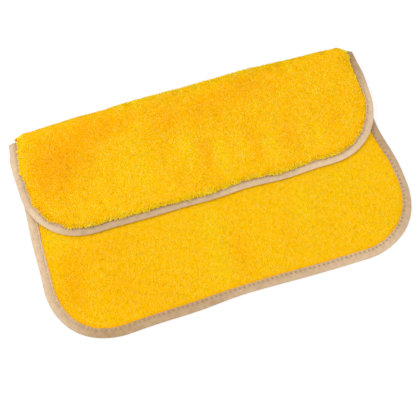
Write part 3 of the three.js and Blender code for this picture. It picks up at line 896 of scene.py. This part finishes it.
long_beds = {
    "flap_front": ("flap", (arc + 84 * mm, arc + flap_depth)),
    "flap_middle": ("flap", (arc + 40 * mm, arc + 84 * mm)),
    "flap_back": ("flap", (arc * 5 / 6, arc + 40 * mm)),
    "back_high": ("back_high", spans["back_high"]),
    "back_low": ("back_low", spans["back_low"]),
    "lower": ("lower", spans["lower"]),
}
longs = {}
for number, (name, (part, span)) in enumerate(long_beds.items()):
    piece = pile_mass(f"long_pile_{name}", part, span, -1, long_tall, long_lean, plush)
    sizes = {"Strands": 3.4e6, "Apart": 0.45 * mm, "Root width": 0.8 * mm}
    if part == "lower":  # pressed flat and unseen, so its strands are fewer and wider
        sizes = {"Strands": 0.4e6, "Apart": 1.1 * mm, "Root width": 1.3 * mm}
    sizes |= {"Tuft width": 2.4 * mm, "Tuft length": 2.4 * mm, "Tuft pull": 0.5, "Stray": 0.4 * mm}
    sizes |= {"Seed": 10 + number, "Finish": plush}
    longs[name] = grow(piece, pile, sizes)
    join(piece)
    stands_for(part, "long_pile")

# The short pile
# The same microfibre on the cloth's other face, cropped to about 2 mm and brushed one way, square to the
# fold, so that it shows as fine streaks. It faces up on the lower panel and down under the flap.
short_pile = 1.7 * mm  # how high it stands, as its strands lean

# Cropped microfibre: a closer, smoother pile, so its light and dark lie nearer together.
velour, tree, shader = material("cropped split microfibre pile", 0.9, 0.02, 0.15, srgb("#FFC820"))
pile_colours(tree, shader, (0.9 * mm, 2.6 * mm), "#F1A000", "#F1D000", "#F1E004", "#F1E878")


def short_lean(x, s):
    """How far the short pile's tips lean: along the cloth, towards the lower panel's front edge."""
    nap = 0.4 * mm + 0.9 * mm * smooth((edge_distance(x, s) - pile_inset) / (4 * mm))
    a, b = swirl(x, s, 70 * mm, 6)
    c, d = swirl(x, s, 9 * mm, 7)
    return 0.3 * mm * a + 0.2 * mm * c, -nap + 0.2 * mm * b + 0.2 * mm * d


def short_tall(x, s):
    return np.full_like(x, short_pile)


short_beds = {
    "lower_front": ("lower", (-lower_depth, -172 * mm)),
    "lower_middle": ("lower", (-172 * mm, -110 * mm)),
    "lower_under": ("lower", (-110 * mm, -55 * mm)),
    "lower_back": ("lower", (-55 * mm, arc / 6)),
    "back_low": ("back_low", spans["back_low"]),
    "back_high": ("back_high", spans["back_high"]),
    "flap_back": ("flap", (arc * 5 / 6, arc + 40 * mm)),
    "flap_middle": ("flap", (arc + 40 * mm, arc + 84 * mm)),
    "flap_front": ("flap", (arc + 84 * mm, arc + flap_depth)),
}
shorts = {}
for number, (name, (part, span)) in enumerate(short_beds.items()):
    piece = pile_mass(f"short_pile_{name}", part, span, 1, short_tall, short_lean, velour)
    sizes = {"Strands": 2.0e6, "Apart": 0.55 * mm, "Root width": 0.75 * mm}
    sizes |= {"Tuft width": 1.3 * mm, "Tuft length": 4.5 * mm, "Tuft pull": 0.3, "Stray": 0.25 * mm}
    sizes |= {"Seed": 30 + number, "Finish": velour}
    shorts[name] = grow(piece, pile, sizes)
    join(piece)
    stands_for(part, "short_pile")

# The cloth as a whole
# Its two large parts are each gathered with the pile, tape and thread that it carries. The two strips round
# the back of the fold, 4 mm wide, go with the flap.
for part, depth in (("lower", lower_depth), ("flap", flap_depth)):
    length = depth - knit_inset + arc / 6
    strips = ["lower"] if part == "lower" else ["back_low", "back_high", "flap"]
    carried = [o for v in (longs, shorts) for n, o in v.items() if any(strip in n for strip in strips)]
    carried += [tapes[p] for p in strips] + [threads[f, p] for f in ("needle", "bobbin") for p in strips]
    carried += [knits[p] for p in strips if p != part]

# The table and the light
# A plain white table, a pale sky all round and two broad lamps, one off the cloth's left and one off its
# front right corner.
bpy.ops.mesh.primitive_plane_add(size=8)
floor = bpy.context.object
floor.name = "table"
table_top = bpy.data.materials.new("white laminate")
table_top.use_nodes = True
tree = table_top.node_tree
shader = tree.nodes["Principled BSDF"]
shader.inputs["Base Color"].default_value = srgb("#FAFAFA")
shader.inputs["Roughness"].default_value = 0.9
path = add(tree, "ShaderNodeLightPath").outputs
rays = {0: path["Is Camera Ray"], 1: path["Is Glossy Ray"]}
seen = add(tree, "ShaderNodeMath", rays, operation="ADD", use_clamp=True)
white = add(tree, "ShaderNodeEmission", {"Color": (1, 1, 1, 1), "Strength": 1.0})
share = add(tree, "ShaderNodeMath", {0: seen, 1: 0.75}, operation="MULTIPLY")
both = add(tree, "ShaderNodeMixShader", {0: share, 1: shader.outputs[0], 2: white}).outputs[0]
tree.links.new(both, tree.nodes["Material Output"].inputs["Surface"])
floor.data.materials.append(table_top)

world = bpy.data.worlds.new("pale sky")
bpy.context.scene.world = world
world.use_nodes = True
sky = world.node_tree.nodes["Background"].inputs
sky["Color"].default_value = (1, 1, 1, 1)
sky["Strength"].default_value = 0.84

for name, place, energy in (("left lamp", (-2.3, 0.3, 1.7), 38), ("right lamp", (1.7, -1.7, 2.2), 33)):
    lamp = bpy.data.objects.new(name, bpy.data.lights.new(name, "AREA"))
    bpy.context.scene.collection.objects.link(lamp)
    lamp.data.shape = "SQUARE"
    lamp.data.size = 1.6
    lamp.data.energy = energy
    lamp.location = place
    lamp.rotation_mode = "QUATERNION"
    lamp.rotation_quaternion = (-lamp.location).to_track_quat("-Z", "Y")
